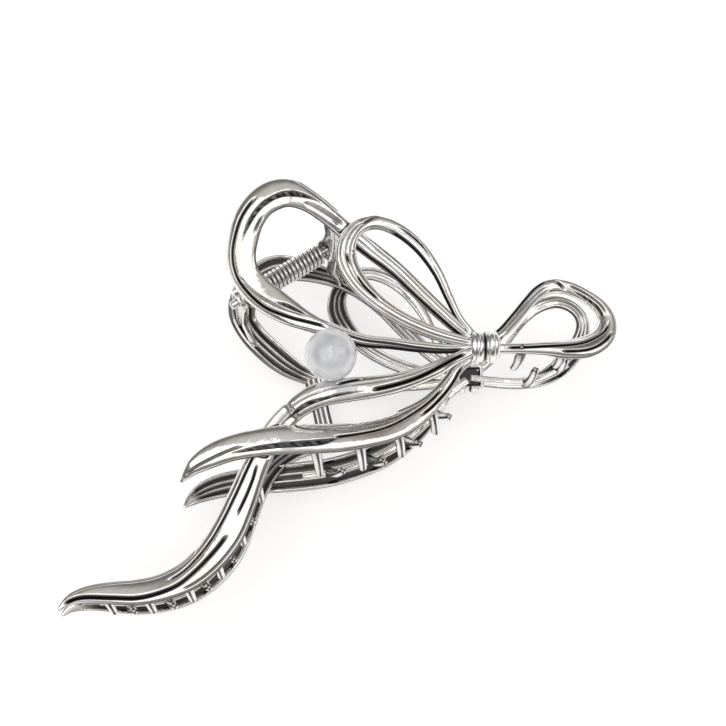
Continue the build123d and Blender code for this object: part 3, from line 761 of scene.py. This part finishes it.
def noise(tree, scale, detail, stretch=(1, 1, 1)):
    place_node = tree.nodes.new("ShaderNodeTexCoord")
    mapping = tree.nodes.new("ShaderNodeMapping")
    mapping.inputs["Scale"].default_value = stretch
    texture = tree.nodes.new("ShaderNodeTexNoise")
    texture.inputs["Scale"].default_value = scale
    texture.inputs["Detail"].default_value = detail
    tree.links.new(place_node.outputs["Object"], mapping.inputs["Vector"])
    tree.links.new(mapping.outputs["Vector"], texture.inputs["Vector"])
    return texture.outputs["Fac"]


def ramp(tree, source, stops):
    node = tree.nodes.new("ShaderNodeValToRGB")
    marks = node.color_ramp.elements
    for index in (0, -1):
        position, colour = stops[index]
        marks[index].position, marks[index].color = position, (*colour, 1)
    for position, colour in stops[1:-1]:
        marks.new(position).color = (*colour, 1)
    tree.links.new(source, node.inputs["Fac"])
    return node.outputs["Color"]


def mix_colour(tree, factor, one, two):
    node = tree.nodes.new("ShaderNodeMix")
    node.data_type = "RGBA"
    tree.links.new(factor, node.inputs[0])
    for value, socket in ((one, node.inputs[6]), (two, node.inputs[7])):
        if isinstance(value, tuple):
            socket.default_value = (*value, 1)
        else:
            tree.links.new(value, socket)
    return node.outputs[2]


def remap(tree, source, low, high):
    node = tree.nodes.new("ShaderNodeMapRange")
    node.inputs["To Min"].default_value = low
    node.inputs["To Max"].default_value = high
    tree.links.new(source, node.inputs["Value"])
    return node.outputs["Result"]


def bump(tree, shader, source, strength, distance, normal=None):
    node = tree.nodes.new("ShaderNodeBump")
    node.inputs["Strength"].default_value = strength
    node.inputs["Distance"].default_value = distance
    tree.links.new(source, node.inputs["Height"])
    if normal:
        tree.links.new(normal, node.inputs["Normal"])
    tree.links.new(node.outputs["Normal"], shader.inputs["Normal"])
    return node.outputs["Normal"]


def plated(name, bright, warm, dark, rough):
    """Bright plating: cloudy tint, polish that varies, and painted shade: the mesh's shade attribute mixes
    in a dark colour and a little more roughness.
    """
    material, tree, shader = new_material(name)
    shader.inputs["Metallic"].default_value = 1.0
    clouds = noise(tree, 220, 2)
    tint = ramp(tree, clouds, ((0.38, warm), (0.62, bright)))
    painted_shade = tree.nodes.new("ShaderNodeAttribute")
    painted_shade.attribute_name = "painted_shade"
    # Painted shade: the dark colour is mixed in where the shade attribute is high.
    painted_shade_colour = mix_colour(tree, painted_shade.outputs["Fac"], tint, dark)
    tree.links.new(painted_shade_colour, shader.inputs["Base Color"])
    polish = remap(tree, noise(tree, 900, 3), rough[0], rough[1])
    # Roughness also rises a little where shade is painted.
    painted_shade_term = tree.nodes.new("ShaderNodeMath")
    painted_shade_term.operation = "MULTIPLY_ADD"
    tree.links.new(painted_shade.outputs["Fac"], painted_shade_term.inputs[0])
    painted_shade_term.inputs[1].default_value = 0.25
    tree.links.new(polish, painted_shade_term.inputs[2])
    tree.links.new(painted_shade_term.outputs["Value"], shader.inputs["Roughness"])
    skin = bump(tree, shader, noise(tree, 700, 2), 0.12, 0.0004)
    bump(tree, shader, noise(tree, 5200, 2, (1, 0.12, 1)), 0.05, 0.0001, skin)
    return material


# The dark colour given to each finish is its painted shade.
silver = plated(
    "silver_plating_finish", bright=(0.93, 0.93, 0.94), warm=(0.86, 0.82, 0.78),
    dark=(0.016, 0.015, 0.016), rough=(0.05, 0.14),
)
steel = plated(
    "hinge_steel_finish", bright=(0.88, 0.88, 0.89), warm=(0.76, 0.75, 0.74),
    dark=(0.03, 0.03, 0.03), rough=(0.14, 0.26),
)


def nacre():
    """Satin bead coating: white, faintly warm and cool in clouds, with a clear coat."""
    material, tree, shader = new_material("pearl_nacre_finish")
    tint = ramp(tree, noise(tree, 320, 2), (
        (0.35, (0.66, 0.69, 0.76)), (0.55, (0.84, 0.85, 0.88)), (0.7, (0.74, 0.77, 0.83)),
    ))
    tree.links.new(tint, shader.inputs["Base Color"])
    tree.links.new(remap(tree, noise(tree, 1500, 3), 0.16, 0.34), shader.inputs["Roughness"])
    shader.inputs["Subsurface Weight"].default_value = 0.12
    shader.inputs["Subsurface Radius"].default_value = (0.002, 0.0018, 0.0016)
    shader.inputs["Subsurface Scale"].default_value = 0.6
    shader.inputs["Coat Weight"].default_value = 1.0
    shader.inputs["Coat Roughness"].default_value = 0.12
    shader.inputs["Coat IOR"].default_value = 1.7
    shader.inputs["Specular IOR Level"].default_value = 0.9
    bump(tree, shader, noise(tree, 2600, 4), 0.25, 0.00006)
    return material


pearl_finish = nacre()


# ------------------------------------------------------------------- assembly
def add(shape, name, node, body, slot, finish, back=False, sharp=None):
    """Makes the piece, hides the part of the node it stands in for, and parents it to the body it rides on.
    """
    piece = shape.build(name, back, sharp)
    piece.data.materials.append(finish)
    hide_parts(node)
    if body:
        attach(piece, body)
    return piece


def jaw(prefix, lugs, tops, back):
    """One jaw: its five ribbons, knot, pearl seat, two lugs and three rows of teeth."""
    def cast(shape, name, node, sharp=None):
        names = f"{prefix}_{name}", f"{prefix}_{node}"
        add(shape, *names, prefix + "_jaw", "silver_plating", silver, back, sharp)

    for number, name in enumerate(RIBBONS):
        cast(ribbon(name, back, 20 + number), f"{name}_ribbon", name)
    cast(knot_wrap(), "knot_bands", "knot_wrap")
    cast(pearl_seat(back), "seat_cup", "pearl_seat", 40)
    for side, x_face in lugs.items():
        cast(lug(x_face, tops[side], back), f"{side}_ear", f"{side}_lug", 40)
    for name in COMBS:
        cast(comb(name, back), f"{name}_row", name)


jaw("front", FRONT_LUGS, FRONT_TOPS, back=False)
jaw("back", BACK_LUGS, BACK_TOPS, back=True)
add(pearl(), "pearl_bead", "pearl", "front_jaw", "pearl_coat", pearl_finish, sharp=50)
add(hinge_pin(), "hinge_rivet", "hinge_pin", "back_jaw", "hinge_steel", steel, sharp=40)
wire = add(torsion_spring(), "spring_wire", "torsion_spring", None, "hinge_steel", steel)
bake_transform(wire)


# ---------------------------------------------------------- floor, light, view
def floor():
    """Plain pale sheet under the clip."""
    size = 1.5
    mesh = bpy.data.meshes.new("floor_sheet")
    corners = [(-size, -size, 0), (size, -size, 0), (size, size, 0), (-size, size, 0)]
    mesh.from_pydata(corners, [], [(0, 1, 2, 3)])
    sheet = bpy.data.objects.new("floor_sheet", mesh)
    bpy.context.scene.collection.objects.link(sheet)
    material, tree, shader = new_material("floor_paper")
    shader.inputs["Base Color"].default_value = (0.9, 0.9, 0.9, 1)
    shader.inputs["Roughness"].default_value = 0.9
    shader.inputs["Emission Color"].default_value = (1, 1, 1, 1)
    shader.inputs["Emission Strength"].default_value = 0.45
    mesh.materials.append(material)


def towards(azimuth, elevation):
    """Unit direction from the clip, for angles in degrees."""
    a, e = math.radians(azimuth), math.radians(elevation)
    return Vector((math.sin(a) * math.cos(e), -math.cos(a) * math.cos(e), math.sin(e)))


def softbox(name, azimuth, elevation, distance, size, power):
    """Large soft lamp aimed at the clip."""
    lamp = bpy.data.lights.new(name, "AREA")
    lamp.shape = "RECTANGLE"
    lamp.size, lamp.size_y = size
    lamp.energy = power
    holder = bpy.data.objects.new(name, lamp)
    bpy.context.scene.collection.objects.link(holder)
    away = towards(azimuth, elevation)
    holder.location = HINGE + away * distance
    holder.rotation_euler = away.to_track_quat("Z", "Y").to_euler()


def studio():
    """Surroundings: pale overhead and low down, with a dim band between."""
    world = bpy.data.worlds.new("studio")
    world.use_nodes = True
    tree = world.node_tree
    direction = tree.nodes.new("ShaderNodeTexCoord")
    parts = tree.nodes.new("ShaderNodeSeparateXYZ")
    tree.links.new(direction.outputs["Generated"], parts.inputs["Vector"])
    shade = ramp(tree, parts.outputs["Z"], (
        (0.0, (0.6, 0.6, 0.6)), (0.14, (0.42, 0.41, 0.40)), (0.30, (0.13, 0.125, 0.12)),
        (0.55, (0.24, 0.23, 0.22)), (0.74, (0.50, 0.48, 0.455)), (0.9, (0.66, 0.64, 0.61)),
        (1.0, (0.72, 0.71, 0.70)),
    ))
    tree.links.new(shade, tree.nodes["Background"].inputs["Color"])
    bpy.context.scene.world = world


def camera():
    """Looks down at the clip from the teeth side, a little to the left."""
    roll, distance = math.radians(13.5), 0.340
    back = towards(-46, 73.5)
    level = (-back).cross(Vector((0, 0, 1))).normalized()
    upright = level.cross(-back)
    right = level * math.cos(roll) + upright * math.sin(roll)
    up = -level * math.sin(roll) + upright * math.cos(roll)
    lens = bpy.data.cameras.new("camera")
    lens.lens, lens.sensor_width = 88.5, 36
    lens.clip_start, lens.clip_end = 0.02, 20
    holder = bpy.data.objects.new("camera", lens)
    spot = HINGE + (right * 12.39 - up * 18.3) * MM + back * distance
    holder.matrix_world = Matrix.Translation(spot) @ Matrix((right, up, back)).transposed().to_4x4()
    bpy.context.scene.collection.objects.link(holder)
    bpy.context.scene.camera = holder


floor()
softbox("key_softbox", -100, 62, 0.9, (0.9, 0.9), 2.0)
softbox("fill_softbox", 60, 50, 0.9, (0.5, 0.8), 1.1)
softbox("top_softbox", 150, 84, 1.0, (0.14, 0.7), 0.5)
studio()
bpy.context.scene.view_settings.view_transform = "Standard"
camera()
